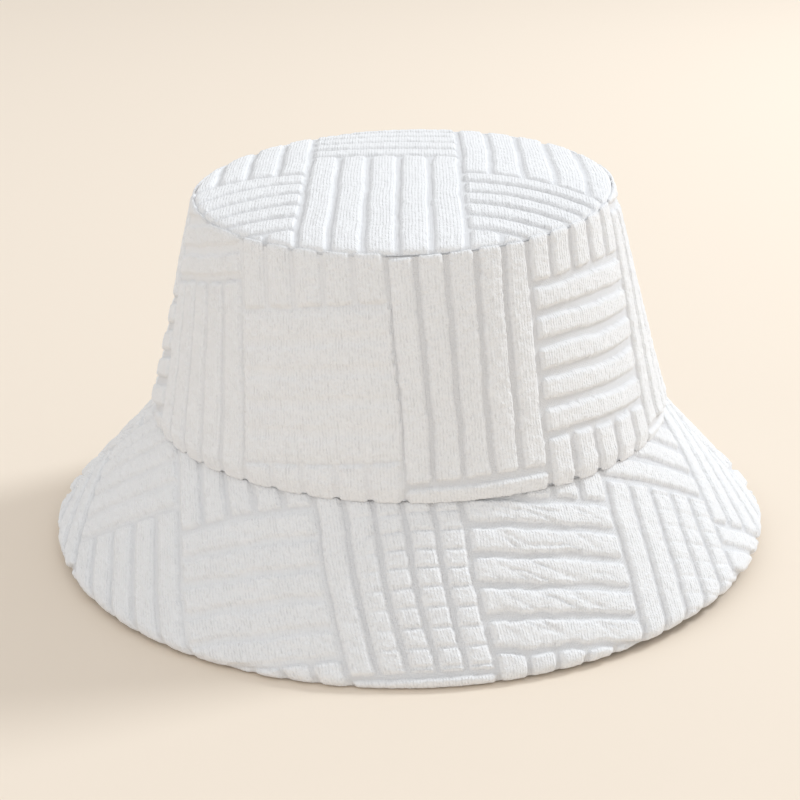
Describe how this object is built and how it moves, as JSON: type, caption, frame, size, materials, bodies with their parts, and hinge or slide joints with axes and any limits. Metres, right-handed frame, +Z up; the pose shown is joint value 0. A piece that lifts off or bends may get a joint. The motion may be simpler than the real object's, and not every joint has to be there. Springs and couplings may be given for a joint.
{
  "type": "bucket hat",
  "caption": "Soft white terry bucket hat: domed round tip, tapered crown side, sloping double-cloth brim, lining, sweatband and a swinging care label.",
  "frame": {"origin": "centre of the circle on which the brim edge rests", "axes": "+Z up along the hat's axis, the front of the hat faces -Y, side seams on the X axis"},
  "size_m": [0.2702, 0.2702, 0.137],
  "materials": {
    "terry_white": "white cotton terry towelling, jacquard basket relief of ribs and tiles",
    "brim_interlining": "stiff white non-woven interlining",
    "lining_cotton": "white plain-weave cotton lining",
    "sweatband_twill": "white cotton twill tape",
    "label_satin": "white woven satin ribbon, blank",
    "thread_white": "white spun polyester sewing thread"
  },
  "bodies": {
    "hat": {"crown_tip": "terry_white", "crown_side_front": "terry_white", "crown_side_back": "terry_white", "brim_upper_front": "terry_white", "brim_upper_back": "terry_white", "brim_under_front": "terry_white", "brim_under_back": "terry_white", "brim_interlining_front": "brim_interlining", "brim_interlining_back": "brim_interlining", "lining_side_front": "lining_cotton", "lining_side_back": "lining_cotton", "lining_tip": "lining_cotton", "sweatband": "sweatband_twill", "care_label_stitches": "thread_white", "tip_seam_thread": "thread_white", "crown_brim_seam_thread": "thread_white", "brim_edge_seam_thread": "thread_white", "crown_side_seam_threads": "thread_white", "brim_side_seam_threads": "thread_white", "lining_tip_seam_thread": "thread_white", "lining_side_seam_threads": "thread_white", "sweatband_topstitch": "thread_white"},
    "care_label": {"care_label": "label_satin"}
  },
  "joints": [
    {"name": "care_label_swing", "type": "hinge", "parent": "hat", "child": "care_label", "pos_m": [0, 0.0724, 0.12705], "axis": [-1, 0, 0], "range_deg": [-14, 85]}
  ]
}
